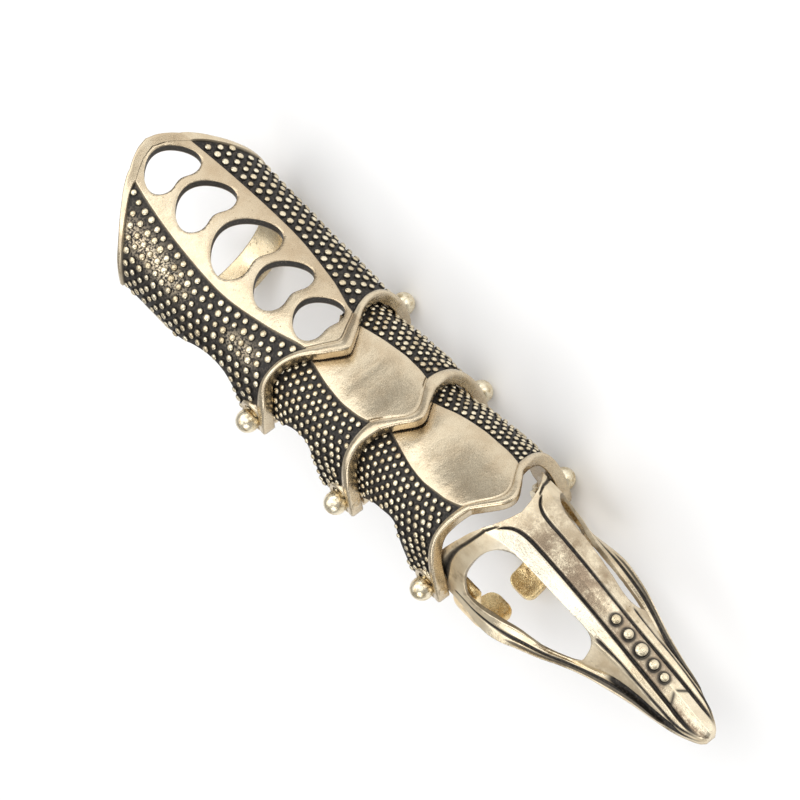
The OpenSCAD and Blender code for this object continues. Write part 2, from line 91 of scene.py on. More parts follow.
# One material and its nodes
class Finish:
    def __init__(self, name):
        self.material = bpy.data.materials.new(name)
        self.material.use_nodes = True
        self.tree = self.material.node_tree
        self.tree.nodes.clear()
        self.place = self.node("ShaderNodeTexCoord", output="Object")

    def node(self, kind, settings=None, inputs=None, output=0):
        made = self.tree.nodes.new(kind)
        for key, value in (settings or {}).items():
            setattr(made, key, value)
        for key, value in (inputs or {}).items():
            if isinstance(value, Wire):
                self.tree.links.new(value.socket, made.inputs[key])
            else:
                made.inputs[key].default_value = value
        return Wire(self, made.outputs[output])

    def mark(self, name):  # a vertex attribute
        return self.node("ShaderNodeAttribute", {"attribute_name": name}, output="Fac")

    def noise(self, size, detail, roughness):  # size of its features in millimetres
        return self.node("ShaderNodeTexNoise", {}, {"Vector": self.place, "Scale": 1 / (size * mm),
                                                    "Detail": detail, "Roughness": roughness}, "Fac")

    def step(self, value, low, high, least=0.0, most=1.0):  # smooth step from least to most
        inputs = {"Value": value, "From Min": low, "From Max": high, "To Min": least, "To Max": most}
        return self.node("ShaderNodeMapRange", {"interpolation_type": "SMOOTHSTEP"}, inputs)

    def mix(self, share, one, other):  # colours, through the Mix node's colour sockets
        one, other = (c if isinstance(c, Wire) else (*c, 1) for c in (one, other))
        return self.node("ShaderNodeMix", {"data_type": "RGBA"}, {0: share, 6: one, 7: other}, 2)

    def bump(self, height, distance):  # distance in millimetres
        return self.node("ShaderNodeBump", {}, {"Height": height, "Distance": distance * mm})

    def done(self, **sockets):  # in a socket's name, _ stands for a space
        inputs = {key.replace("_", " "): value for key, value in sockets.items()}
        shader = self.node("ShaderNodeBsdfPrincipled", {}, inputs)
        out = self.tree.nodes.new("ShaderNodeOutputMaterial")
        self.tree.links.new(shader.socket, out.inputs["Surface"])
        return self.material


# From 0 to 1 with t, level at both ends: 3 t squared less 2 t cubed
def smooth(t):
    t = np.clip(t, 0, 1)
    return t * t * (3 - 2 * t)


# From a to b as t goes from 0 to 1
def mix(a, b, t):
    return a + (b - a) * t


# Rises from 0 to 1 beyond low and falls back to 0 before high, each over its own length
def between(value, low, rise, high, fall):
    return smooth((value - low) / rise) * smooth((high - value) / fall)


# Value of a table's column at x: a cubic between rows, whose slope at a row is that of its two neighbours
def along(x, table, column):
    t = np.asarray(table, float)
    knot, value, k = t[:, 0], t[:, column], np.arange(len(t))
    i = np.clip(np.searchsorted(knot, x, side="right") - 1, 0, len(knot) - 2)
    before, after = np.maximum(k - 1, 0), np.minimum(k + 1, len(k) - 1)
    slope = (value[after] - value[before]) / (knot[after] - knot[before])
    h = knot[i + 1] - knot[i]
    u = np.clip((x - knot[i]) / h, 0, 1)
    m, n, a, b = slope[i] * h, slope[i + 1] * h, value[i], value[i + 1]
    return a + u * m + u**2 * (3 * (b - a) - 2 * m - n) + u**3 * (2 * (a - b) + m + n)


# Normal of surface(x, s), from its slopes along x and across
def normalOf(surface, x, s, most, step=0.02):
    r = np.clip(s, -most + step, most - step)
    lengthwise = surface(x + step, s) - surface(x - step, s)
    n = np.cross(lengthwise, surface(x, r + step) - surface(x, r - step))
    return n / np.maximum(np.linalg.norm(n, axis=-1, keepdims=True), 1e-12)


# Signed distance of flat points to a closed outline, positive inside it, and the outline's nearest point
def outlineDistance(points, outline):
    a, b = outline, np.roll(outline, -1, axis=0)
    d = b - a
    rel = points[:, None] - a[None]
    t = np.clip((rel * d).sum(-1) / (d * d).sum(-1), 0, 1)
    near = a + t[..., None] * d
    gap = np.linalg.norm(points[:, None] - near, axis=-1)
    k = gap.argmin(1)
    over = (a[None, :, 1] > points[:, None, 1]) != (b[None, :, 1] > points[:, None, 1])
    cross = a[:, 0] + (points[:, None, 1] - a[:, 1]) * d[:, 0] / np.where(d[:, 1] == 0, 1e-9, d[:, 1])
    inside = (over & (points[:, None, 0] < cross)).sum(1) % 2 == 1
    row = np.arange(len(points))
    return np.where(inside, 1, -1) * gap[row, k], near[row, k]


# Grid points next to an outline slide along the surface onto it. Returns x, s, the side (-1 metal, 0 edge,
# 1 hole) and the signed distance to the nearest outline
def cutHoles(x, s, surface, flatten, outlines):
    far, margin, stepX, stepS = 9.0, 0.8, 0.01, 0.002
    x, s = x.copy(), s.copy()
    side = -np.ones(x.shape)
    depth = np.full(x.shape, -far)
    for outline in outlines:
        flat = flatten(surface(x, s))
        low, high = outline.min(0) - margin, outline.max(0) + margin
        near = ((flat > low) & (flat < high)).all(-1)
        distance = np.full(x.shape, -far)
        nearest = flat.copy()
        distance[near], nearest[near] = outlineDistance(flat[near], outline)
        moved = np.zeros(x.shape, bool)
        for one, two in [(np.s_[:-1], np.s_[1:]), (np.s_[:, :-1], np.s_[:, 1:])]:
            crossing = distance[one] * distance[two] < 0
            first = np.abs(distance[one]) <= np.abs(distance[two])
            moved[one] |= crossing & first
            moved[two] |= crossing & ~first
        px, ps, goal = x[moved], s[moved], nearest[moved]
        for k in range(4):  # Newton steps on x and s
            f = flatten(surface(px, ps))
            dx = (flatten(surface(px + stepX, ps)) - f) / stepX
            ds = (flatten(surface(px, ps + stepS)) - f) / stepS
            miss = goal - f
            det = dx[:, 0] * ds[:, 1] - dx[:, 1] * ds[:, 0]
            px = px + (miss[:, 0] * ds[:, 1] - miss[:, 1] * ds[:, 0]) / det
            ps = ps + (dx[:, 0] * miss[:, 1] - dx[:, 1] * miss[:, 0]) / det
        x[moved], s[moved] = px, ps
        side = np.where(moved, 0, np.where(distance > 0, 1, side))
        depth = np.maximum(depth, np.where(moved, 0, distance))
    return x, s, side, depth


# A piece from points of the worn ring, each turned and moved to where the lying ring has it, then in metres
def newPiece(name, points, faces, finish, body, marks=None):
    mesh = bpy.data.meshes.new(name)
    mesh.from_pydata(((np.asarray(points) @ lieTurn.T + lieShift) * mm).tolist(), [], faces)
    mesh.polygons.foreach_set("use_smooth", np.ones(len(mesh.polygons), bool))
    for mark, values in (marks or {}).items():
        layer = mesh.attributes.new(mark, "FLOAT", "POINT")
        layer.data.foreach_set("value", np.asarray(values, np.float32).ravel())
    mesh.materials.append(finish)
    piece = bpy.data.objects.new(name, mesh)
    bpy.context.scene.collection.objects.link(piece)
    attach(piece, body)
    return piece


# Points closer together than the gap, in millimetres, become one
def weld(piece, gap=0.001):
    work = bmesh.new()
    work.from_mesh(piece.data)
    bmesh.ops.remove_doubles(work, verts=work.verts, dist=gap * mm)
    work.to_mesh(piece.data)
    work.free()


# Closed shell between two grids: both faces, and walls of three strips along each free edge. A quad that a
# hole's edge crosses from corner to corner keeps the triangle round its metal corner
def shell(name, outer, inner, side, marks, finish, body):
    strip = 0.14  # share of a wall that its first and last strips take
    rows, columns = side.shape
    count = rows * columns
    index = np.arange(count).reshape(rows, columns)
    quads = np.stack([index[:-1, :-1], index[1:, :-1], index[1:, 1:], index[:-1, 1:]], -1).reshape(-1, 4)
    kind = side.ravel()[quads]
    whole = quads[(kind.max(1) <= 0) & (kind.min(1) < 0)]
    split = (kind.max(1) > 0) & (kind.min(1) < 0)
    cut, sort = quads[split], kind[split]
    triangles = np.concatenate([cut[sort[:, k] < 0][:, [(k - 1) % 4, k, (k + 1) % 4]] for k in range(4)])
    edges = np.concatenate([np.stack([f[:, k], f[:, (k + 1) % f.shape[1]]], -1)
                            for f in (whole, triangles) for k in range(f.shape[1])])
    free = edges[~np.isin(edges[:, 1] * count + edges[:, 0], edges[:, 0] * count + edges[:, 1])]
    rim, place = np.unique(free, return_inverse=True)
    place = place.reshape(free.shape)
    outerFlat, innerFlat = outer.reshape(-1, 3), inner.reshape(-1, 3)
    upper = mix(outerFlat[rim], innerFlat[rim], strip)
    lower = mix(outerFlat[rim], innerFlat[rim], 1 - strip)
    points = np.concatenate([outerFlat, innerFlat, upper, lower])
    a, b = free[:, 0], free[:, 1]
    ua, ub = 2 * count + place[:, 0], 2 * count + place[:, 1]
    la, lb = ua + len(rim), ub + len(rim)
    strips = [(b, a, ua, ub), (ub, ua, la, lb), (lb, la, a + count, b + count)]
    walls = np.concatenate([np.stack(corners, -1) for corners in strips])
    faces = [whole, triangles, whole[:, ::-1] + count, triangles[:, ::-1] + count, walls]
    onHole = (side.ravel()[rim] == 0) * 1.0
    none = 0 * onHole
    full = {key: np.concatenate([value.ravel(), 0 * value.ravel(), none, none])
            for key, value in marks.items()}
    # painted shade: the inner grid fully, and the walls' lower strips by half
    full["hollowShade"] = np.concatenate([np.zeros(count), np.ones(count), none, none + 0.5])
    full["holeWall"] = np.concatenate([np.zeros(2 * count), onHole, onHole])
    used = np.unique(np.concatenate([f.ravel() for f in faces]))
    renumber = np.zeros(len(points), int)
    renumber[used] = np.arange(len(used))
    faces = sum([renumber[f].tolist() for f in faces], [])
    full = {key: value[used] for key, value in full.items()}
    return newPiece(name, points[used], faces, finish, body, full)


# Round domes set on a surface: rings of radius times reach, raised along the normal by height times rise
def domes(name, centres, normals, radii, heights, worn, finish, body, corners=8):
    reach = np.array([1.0, 0.97, 0.80, 0.45])
    rise = np.array([-0.35, 0.25, 0.72, 0.95])
    turn = np.arange(corners) / corners * 2 * np.pi
    first = np.cross(normals, [0.31, 0.95, 0.05])  # a direction that no normal has
    first /= np.linalg.norm(first, axis=1, keepdims=True)
    second = np.cross(normals, first)
    around = np.cos(turn)[:, None] * first[:, None] + np.sin(turn)[:, None] * second[:, None]
    wide, high = radii[:, None] * reach, heights[:, None] * rise
    rounds = (centres[:, None, None] + around[:, None] * wide[..., None, None]
              + (normals[:, None] * high[..., None])[:, :, None])
    tops = centres + normals * heights[:, None]
    rings = len(reach)
    per = rings * corners + 1
    points = np.concatenate([rounds.reshape(len(centres), -1, 3), tops[:, None]], 1).reshape(-1, 3)
    k, ringNo = np.arange(corners), np.arange(rings - 1)[:, None]
    after = (k + 1) % corners
    quads = np.stack([ringNo * corners + k, ringNo * corners + after, (ringNo + 1) * corners + after,
                      (ringNo + 1) * corners + k], -1).reshape(-1, 4)
    caps = np.stack([(rings - 1) * corners + k, (rings - 1) * corners + after, 0 * k + per - 1], -1)
    start = (np.arange(len(centres)) * per)[:, None, None]
    faces = sum([(start + f).reshape(-1, f.shape[-1]).tolist() for f in (quads, caps, k[::-1][None])], [])
    riseMark = np.tile(np.append(np.repeat(np.clip(rise, 0, 1), corners), 1.0), len(centres))
    own = np.repeat(rng.random(len(centres)), per)
    marks = {"rise": riseMark, "own": own, "worn": np.repeat(worn, per)}
    return newPiece(name, points, faces, finish, body, marks)


# Grid of points whose neighbours are joined by quads, welded at its seams and poles
def tube(name, points, finish, body):
    rows, columns = points.shape[:2]
    index = np.arange(rows * columns).reshape(rows, columns)
    faces = np.stack([index[:-1, :-1], index[:-1, 1:], index[1:, 1:], index[1:, :-1]], -1).reshape(-1, 4)
    piece = newPiece(name, points.reshape(-1, 3), faces.tolist(), finish, body)
    weld(piece)
    return piece


# Profile of (radius, distance along Y) turned round an axis across the finger, closed at both poles
def turned(name, axisX, side, profile, finish, body, corners=48):
    turn = np.arange(corners + 1) / corners * 2 * np.pi * side
    radius, out = profile[:, 0, None], profile[:, 1, None]
    points = np.stack([axisX + radius * np.sin(turn), side * out + 0 * turn,
                       ring["axisHeight"] + radius * np.cos(turn)], -1)
    return tube(name, points, finish, body)


# Gold finishes: colours, sizes of their patterns in millimetres, and how strong each layer is
gold = {
    "bright": (0.92, 0.84, 0.68), "pale": (0.68, 0.58, 0.42), "warm": (0.60, 0.49, 0.34),
    "brown": (0.25, 0.165, 0.08), "tan": (0.44, 0.33, 0.21), "smoke": (0.27, 0.20, 0.14),
    "black": (0.012, 0.010, 0.008), "soot": (0.09, 0.072, 0.055),
    "grainSize": 0.25, "cloudSize": 2.2, "dentSize": 1.1, "pitSize": 0.33, "pittedSize": 3.5,
    "bareSize": 0.28, "stain": 0.22, "stainSize": 2.6, "stainFrom": 0.58, "stainEdge": 0.16,
    # the polish strength below is partly a painted highlight, and the hollow strength is a painted shade on
    # inner sides
    "pits": 0.7, "polishAndHighlight": 0.7, "hollowShade": 0.5, "wallDark": 1.0, "fieldWear": 0.9, "roughness": 0.21,
    "satin": 0.3, "bump": 0.030,
}
ownGold = {
    "plateGold": {},
    "clawGold": {"pale": (0.82, 0.71, 0.52), "warm": (0.68, 0.56, 0.38), "stain": 0.6, "stainFrom": 0.54,
                 "stainSize": 3.2, "wallDark": 0.3, "bump": 0.045},
    "bandGold": {"pale": (0.74, 0.62, 0.42), "warm": (0.62, 0.50, 0.32), "stain": 0.4},
    "tabGold": {"pale": (0.98, 0.79, 0.44), "warm": (0.82, 0.60, 0.30), "stain": 0.5, "stainFrom": 0.5,
                "stainSize": 1.4, "bump": 0.08},
}


# Bright gold with brown patina. Marks say where it is blackened (field, crease), polished with a painted
# highlight, satin, stained or in painted shade, in painted shade on one side or worn bright, where a hole's
# wall is, and where a shell's hollow side is in painted shade
def goldFinish(name, g):
    f = Finish(name)
    polishAndHighlight, wallMark = f.mark("polishAndHighlight"), f.mark("holeWall")
    grain = f.noise(g["grainSize"], 3, 0.7)
    cloud = f.noise(g["cloudSize"], 4, 0.6)
    blot = f.step(f.noise(g["stainSize"], 4, 0.65), g["stainFrom"], g["stainFrom"] + g["stainEdge"])
    pits = f.step(f.noise(g["pitSize"], 3, 0.6), 0.64, 0.72)
    pits = pits * f.step(f.noise(g["pittedSize"], 2, 0.5), 0.50, 0.62)
    metal = f.mix(f.step(cloud, 0.35, 0.7), g["pale"], g["warm"])
    # painted shade: tan darkening of the plates' strip towards its right side
    metal = f.mix(f.mark("rightSideShade") * (0.25 + cloud * 0.6), metal, g["tan"])
    metal = f.mix(blot * g["stain"] * (1 - polishAndHighlight), metal, g["brown"])
    # real stains, and painted shade where this mark covers the claw's right strip and the nail's left edge
    metal = f.mix(f.mark("stainAndShade") * f.step(cloud * 0.6 + grain * 0.4, 0.34, 0.56), metal, g["smoke"])
    metal = f.mix(wallMark * f.step(grain, 0.22, 0.5, 0.3, 0.95) * g["wallDark"], metal, g["black"])
    # painted shade: brown over the shell's inner side and its walls' lower strips
    metal = f.mix(f.mark("hollowShade") * g["hollowShade"], metal, g["brown"])
    # painted highlight: bright gold on the claw's left strip, and on the nail a polish that is partly a
    # painted highlight
    metal = f.mix(polishAndHighlight * g["polishAndHighlight"], metal, g["bright"])
    metal = f.mix(pits * g["pits"] * (1 - polishAndHighlight), metal, g["brown"])
    bare = f.mark("worn") * f.step(f.noise(g["bareSize"], 3, 0.7), 0.45, 0.56) * g["fieldWear"]
    dark = f.mark("field") * (1 - bare) + f.mark("crease")
    dark = dark + wallMark * f.step(grain, 0.2, 0.5, 0.4, 0.9) * g["wallDark"]
    dark = f.node("ShaderNodeClamp", {}, {"Value": dark})
    ground = f.mix(f.step(grain, 0.45, 0.75), g["black"], g["soot"])
    roughness = g["roughness"] + dark * 0.30 + grain * 0.12 - polishAndHighlight * 0.06 + f.mark("satin") * g["satin"]
    height = grain * 0.5 + f.noise(g["dentSize"], 3, 0.5) * 1.2 - pits * 0.7
    return f.done(Base_Color=f.mix(dark, metal, ground), Metallic=1 - dark * 0.7, Roughness=roughness,
                  Normal=f.bump(height, g["bump"]))


plateGold, clawGold, bandGold, tabGold = (goldFinish(name, gold | own) for name, own in ownGold.items())

# The ink's edge goes from a level with ink alone to one with bare metal, up the dome's height of 1
pebble = {
    "bright": (0.86, 0.77, 0.58), "warm": (0.68, 0.57, 0.38), "dull": (0.38, 0.28, 0.16),
    "ink": (0.014, 0.011, 0.008), "dullSize": 2.0, "inkSize": 0.18, "dentSize": 0.2,
    "inkTo": 0.64, "bareFrom": 1.0, "bared": 0.4, "roughness": 0.24, "bump": 0.05,
}


# Bright domes in black ink, which climbs each one unevenly, and less far where the pebbles are worn
def pebbleFinish(p):
    f = Finish("pebbleGold")
    metal = f.mix(f.mark("own"), p["bright"], p["warm"])
    metal = f.mix(f.step(f.noise(p["dullSize"], 3, 0.6), 0.45, 0.68) * 0.5, metal, p["dull"])
    level = f.mark("rise") + f.noise(p["inkSize"], 2, 0.6) * 0.35 + f.mark("worn") * p["bared"]
    ink = f.step(level, p["inkTo"], p["bareFrom"], 1, 0)
    return f.done(Base_Color=f.mix(ink, metal, p["ink"]), Metallic=1 - ink * 0.7,
                  Roughness=p["roughness"] + ink * 0.35,
                  Normal=f.bump(f.noise(p["dentSize"], 2, 0.6), p["bump"]))


pebbleGold = pebbleFinish(pebble)
print("gold finishes made")

# Plates, measured from their hinge. Sections: x, half width, height of the top, height of the lower edge,
# half width of the raised strip. Outline: place across, x of the rear edge, of the border's inner line, and
# of the rim's inner line and its front, both from frontX
knuckle = {
    "sections": [
        [-31, 10.4, 9.1, -0.4, 3.1], [-28, 10.45, 8.25, -0.4, 3.95],
        [-23, 10.45, 7.65, -0.4, 4.75], [-18, 10.4, 7.35, -0.35, 5.25],
        [-13, 10.35, 7.25, 0.2, 5.5], [-10.4, 10.3, 7.3, 1.7, 5.45],
        [-8, 10.3, 7.45, 2.5, 5.2], [-5.5, 10.28, 7.7, 2.4, 4.8],
        [-3.8, 10.25, 7.9, 1.3, 4.5], [-2.2, 10.25, 8, -0.7, 4.1],
        [0, 10.25, 8.15, -1, 3.5], [4.6, 10.25, 8.75, -1, 2.9]],
    "outline": [
        [0, -30.9, -30, 3.2, 4.6], [0.5, -30.45, -29.4, 2.1, 3.5],
        [1, -29.3, -28, 1, 2.2], [1.1, -28.4, -27.3, 0.3, 1.2],
        [1.25, -26.8, -25.9, -0.28, 0.45], [1.5, -24.8, -24.1, -0.35, 0.4],
        [1.75, -23.7, -23.15, 0.35, 1.6], [2, -23, -22.5, 1.1, 2.2]],
    # x of a heart's round end, of its lobes, half width, notch depth
    "hearts": [[-29.3, -24.05, 3.45, 0.8], [-23.75, -18.05, 3.7, 0.95], [-17.35, -10.55, 4.35, 1.15],
               [-10.35, -4.6, 3.65, 0.9], [-4, 1.1, 3.05, 0.5]],
    "frontX": 0.0, "border": True, "bodyRows": 170, "pebblePitch": 1.28, "pebbleRadius": 0.465,
    # patches where the pebbles are worn: x, place across, half length, half width across, how worn
    "patches": [[-20, -1.33, 5.5, 0.16, 1], [-27, -1.62, 2, 0.12, 0.5], [-5, -1.42, 2.6, 0.14, 0.75]],
    # how strongly painted shade darkens the knuckle plate's strip towards its right side
    "rightSideShade": 1.0,
}
# What both middle plates share, with a weaker painted shade towards the strip's right side
middleBoth = {"hearts": [], "frontX": pitch, "border": False, "bodyRows": 60, "pebblePitch": 1.02,
              "pebbleRadius": 0.39, "patches": [], "rightSideShade": 0.25}
middleRear = middleBoth | {
    "sections": [
        [-2.6, 8.95, 6.1, 0.3, 2.6], [0, 8.95, 6.3, -0.8, 3], [2.3, 9, 6.8, 0.6, 3.5],
        [5, 9.4, 7.15, 2.7, 4.1], [7.2, 9.55, 7.45, 3.2, 4.4], [8.4, 9.6, 7.7, 2.7, 4.5],
        [9.7, 9.6, 7.95, 1.1, 4.45], [11, 9.58, 8.25, -0.8, 4.35], [12.6, 9.52, 8.7, -1, 4.05],
        [14.1, 9.5, 9.05, -1, 3.9], [16.8, 9.5, 9.7, -1, 3.5]],
    "outline": [
        [0, 0.3, 0.45, 1.4, 2.65], [0.3, 0.25, 0.4, 0.8, 2.05], [0.6, 0.05, 0.2, -0.2, 1.15],
        [1, -0.8, -0.65, -1.5, 0.1], [1.25, -1.5, -1.35, -1.55, -0.45],
        [1.5, -1.9, -1.75, -1.15, -0.1], [1.75, -2, -1.85, -0.2, 1], [2, -2, -1.85, 1.1, 2.2]],
}
middleFront = middleBoth | {
    "sections": [
        [-2.3, 8.2, 7.1, 0.3, 2.2], [0, 8.2, 7.45, -0.8, 2.7], [2.2, 8.25, 7.95, 1.3, 3.3],
        [3.6, 8.65, 8.3, 2.9, 3.75], [5.4, 8.95, 8.55, 3.8, 4.2], [7.6, 9.15, 8.95, 4.2, 4.5],
        [8.8, 9.22, 9.25, 3, 4.5], [10, 9.25, 9.6, 1.3, 4.45], [11.3, 9.25, 10, -0.7, 4.4],
        [13, 9.2, 10.65, -1, 4.1], [14.1, 9.2, 11.1, -1, 3.8], [17.6, 9.2, 12.5, -1, 3.3]],
    "outline": [
        [0, -2.3, -2.15, 2.2, 3.4], [0.35, -2.3, -2.15, 1.6, 2.85],
        [0.7, -2.3, -2.15, 0.5, 1.75], [1, -2.2, -2.05, -0.45, 0.6],
        [1.25, -1.9, -1.75, -0.95, -0.25], [1.5, -1.6, -1.45, -0.95, -0.35],
        [1.75, -1.7, -1.55, -0.2, 0.6], [2, -2, -1.85, 1.1, 2.2]],
}


# Arched section at x: a superellipse of the table's half width and height. The strip is |s| up to 1, and
# from 1 to 2 the side goes down to the lower edge, past the superellipse's end where that is below zero
def archSurface(sections):
    q = ring["squareness"] / 2

    def surface(x, s):
        w, h, low, half = (along(x, sections, c) for c in (1, 2, 3, 4))
        f = np.maximum(0, np.abs(s) - 1)
        start = np.arcsin(np.clip(half / w, 0, 1) ** q)
        end = np.where(low > 0, np.arccos(np.clip(low / h, 0, 1) ** q), np.pi / 2)
        strip = np.arcsin(np.clip(np.abs(s) * half / w, 0, 1) ** q)
        a = np.where(f > 0, start + (end - start) * f, strip)
        y = np.sign(s) * w * np.maximum(np.sin(a), 0) ** (1 / q)
        z = h * np.maximum(np.cos(a), 0) ** (1 / q) + np.minimum(0, low) * f**4
        return np.stack([x + 0 * s, y, z], -1)
    return surface


# How a plate's edges are rounded and its levels meet, in millimetres, or for the strip and the middle in s;
# the lip's reach and where the front's rounding starts are shares of the rim
plateDetail = {
    "middleRound": 0.16, "stripEdge": 0.03, "borderEdge": 0.2, "rimEdge": 0.16, "lipReach": 0.5,
    "frontRound": 0.35, "frontRoundFrom": 0.78, "rearRound": 0.15, "rearRoundReach": 0.25,
    "heartRound": 0.04, "heartRoundReach": 0.3, "creaseDepth": 0.10, "creaseHalf": 0.10, "creaseBack": 0.05,
}


# x of an outline line at place s; the rim's lines are rounded over the middle
def outlineX(plate, s, column):
    onRim = column > 2
    place = np.sqrt(s * s + plateDetail["middleRound"] ** 2) if onRim else np.abs(s)
    return along(place, plate["outline"], column) + (plate["frontX"] if onRim else 0)


# How worn the pebbles are at x and s, from 0 to 1: each patch is a bell whose ends along X are steeper
def wornShare(plate, x, s):
    share = 0 * x
    for middleX, middleS, halfX, halfS, most in plate["patches"]:
        patch = most * np.exp(-((x - middleX) / halfX) ** 4 - ((s - middleS) / halfS) ** 2)
        share = np.maximum(share, patch)
    return share


heartShape = {"points": 120, "notchHalf": 0.36, "belly": 0.12, "rearWidth": 0.86, "spread": 0.15}


# Heart: at angle a from the rear the lobes swell to the front, and a notch draws the middle back
def heartOutline(rear, front, half, notch):
    h = heartShape
    a = np.arange(h["points"]) / h["points"] * 2 * np.pi
    c, s = np.cos(a), np.sin(a)
    middle, long = (rear + front) / 2, (front - rear) / 2
    back = np.where(c < 0, notch * np.exp(-(s / h["notchHalf"]) ** 2), 0)
    return np.stack([middle - long * c - back + h["belly"] * long * s * s,
                     half * s * (h["rearWidth"] + h["spread"] * (1 - c))], -1)


# Plate: columns run across the arch, rows from the rear edge to the rim's front. The outer grid stands over
# the arch by the relief on strip, border and rim, with rounded edges; the inner one lies a wall below it
def plateShell(name, plate, hinge, body):
    d = plateDetail
    surface = archSurface(plate["sections"])
    half = np.concatenate([np.linspace(0, 0.94, 22), [0.965, 0.98, 0.992, 1.004, 1.016, 1.03],
                           np.linspace(1.05, 1.94, 30), [1.965, 1.982, 1.993, 2.0]])
    places = np.concatenate([-half[:0:-1], half])
    # each row: outline line, share of the way to the next line, and a shift that crowds rows beside a line
    rows = [(0, t, 0) for t in (0, 0.06, 0.16, 0.35, 0.6, 0.8, 0.93, 1)]
    rows += [(1, 0, shift) for shift in (0.06, 0.14, 0.24)]
    rows += [(1, t, 0) for t in np.linspace(0, 1, plate["bodyRows"] + 2)[1:-1]]
    rows += [(1, 1, shift) for shift in (-0.22, -0.12, -0.05)]
    rows += [(2, t, 0) for t in (0, 0.06, 0.13, 0.22, 0.34, 0.48, 0.62, 0.75, 0.85, 0.92, 0.97, 1)]
    line, share, shift = np.array(rows).T
    line = line.astype(int)
    edges = np.stack([outlineX(plate, places, column) for column in (1, 2, 3, 4)])
    one, two = edges[line], edges[line + 1]
    x = mix(one, two, share[:, None]) + shift[:, None] * np.clip((two - one) / 1.5, 0.3, 1)
    s = np.broadcast_to(places, x.shape)
    hearts = [heartOutline(*heart) for heart in plate["hearts"]]
    x, s, side, depth = cutHoles(x, s, surface, lambda p: p[..., :2], hearts)
    n = normalOf(surface, x, s, 2)
    a = np.abs(s)
    rear, border, rim, front = (outlineX(plate, s, column) for column in (1, 2, 3, 4))
    onStrip = 1 - smooth((a - 1 + d["stripEdge"] / 2) / d["stripEdge"])
    onBorder = (1 - smooth((x - border) / d["borderEdge"])) * plate["border"]
    onRim = smooth((x - rim) / d["rimEdge"] + 1)
    t = np.clip((x - rim) / np.maximum(front - rim, 0.1), 0, 1)
    toFront = np.clip((t - d["frontRoundFrom"]) / (1 - d["frontRoundFrom"]), 0, 1)
    fromRear = np.clip((x - rear) / d["rearRoundReach"], 0, 1)
    crease = np.exp(-((x - rim + d["creaseBack"]) / d["creaseHalf"]) ** 2)
    rise = (ring["relief"] * np.maximum.reduce([onStrip, onRim, onBorder])
            + ring["lip"] * smooth(t / d["lipReach"]) - d["frontRound"] * (1 - np.sqrt(1 - toFront**2))
            - d["creaseDepth"] * crease * onStrip - d["rearRound"] * (1 - np.sqrt(1 - (1 - fromRear) ** 2))
            - d["heartRound"] * (1 - smooth(-depth / d["heartRoundReach"])) * (side <= 0))
    base = surface(x, s)
    away = mix(np.array([0, 0, 1]), n, smooth((a - 1) / 0.35)[..., None])  # straight down under the strip
    inner = base - ring["wall"] * away / np.linalg.norm(away, axis=-1, keepdims=True)
    clear = np.clip((2 - a) * 14, 0, 1)  # fades out at the lower edge
    marks = {"field": (1 - onStrip) * (1 - onBorder) * (1 - onRim),
             "crease": crease * (1 - 0.85 * onStrip) * clear, "worn": wornShare(plate, x, s),
             # painted shade: the strip darkened towards its right side
             "rightSideShade": plate["rightSideShade"] * smooth((s + 0.25) / 1.1) * onStrip}
    origin = np.array([ring["axes"][hinge], 0, ring["axisHeight"]])
    return shell(name, base + n * rise[..., None] + origin, inner + origin, side, marks, plateGold, body)


# How pebbles are laid: rows down a side, the place they are counted from, distance between rows as a share
# of the pitch, then gap, strays, and the ranges of size and height
pebbleLay = {"rows": 24, "from": 1.03, "samples": 240, "rowShare": 0.87, "stripGap": 0.06, "straysX": 0.06,
             "straysS": 0.006, "sizes": (0.82, 1.08), "heights": (0.9, 1.08), "coveredDrop": 0.55}


# Rows of pebbles parallel to the strip's edge, every second row half a pitch along, each at its distance
# down the arch from the strip; pebbles that the plate before covers are lower
def platePebbles(name, plate, hinge, coveredTo, body):
    lay, pitchHere, radius = pebbleLay, plate["pebblePitch"], plate["pebbleRadius"]
    surface = archSurface(plate["sections"])
    low, high = min(r[2] for r in plate["outline"]), max(r[3] for r in plate["outline"]) + plate["frontX"]
    s = np.linspace(lay["from"], 2, lay["samples"])
    xs, ss = [], []
    for k in range(lay["rows"]):
        x = np.arange(low, high, pitchHere) + (k % 2) * pitchHere / 2
        line = surface(x[:, None], s[None])
        run = np.concatenate([0 * x[:, None], np.linalg.norm(np.diff(line, axis=1), axis=-1).cumsum(1)], 1)
        goal = radius + lay["stripGap"] + k * pitchHere * lay["rowShare"]
        i = np.clip((run < goal).sum(1), 1, len(s) - 1)
        row = np.arange(len(x))
        u = (goal - run[row, i - 1]) / np.maximum(run[row, i] - run[row, i - 1], 1e-6)
        fits = goal < run[:, -1] - radius * 0.75
        xs.append(x[fits])
        ss.append((s[i - 1] + u * (s[1] - s[0]))[fits])
    x, s = np.concatenate(xs), np.concatenate(ss)
    x, s = np.concatenate([x, x + pitchHere * 0.3]), np.concatenate([s, -s])
    x, s = x + rng.normal(0, lay["straysX"], len(x)), s + rng.normal(0, lay["straysS"], len(x))
    fits = ((x > outlineX(plate, s, 2) + radius * (1.0 if plate["border"] else 0.4))
            & (x < outlineX(plate, s, 3) - radius * 0.9))
    x, s = x[fits], s[fits]
    size = radius * rng.uniform(*lay["sizes"], len(x))
    covered = smooth((coveredTo(s) - x) / 0.6) if coveredTo else 0 * x
    height = ring["relief"] * rng.uniform(*lay["heights"], len(x)) * (1 - lay["coveredDrop"] * covered)
    origin = np.array([ring["axes"][hinge], 0, ring["axisHeight"]])
    return domes(name, surface(x, s) + origin, normalOf(surface, x, s, 2), size, height,
                 wornShare(plate, x, s), pebbleGold, body)


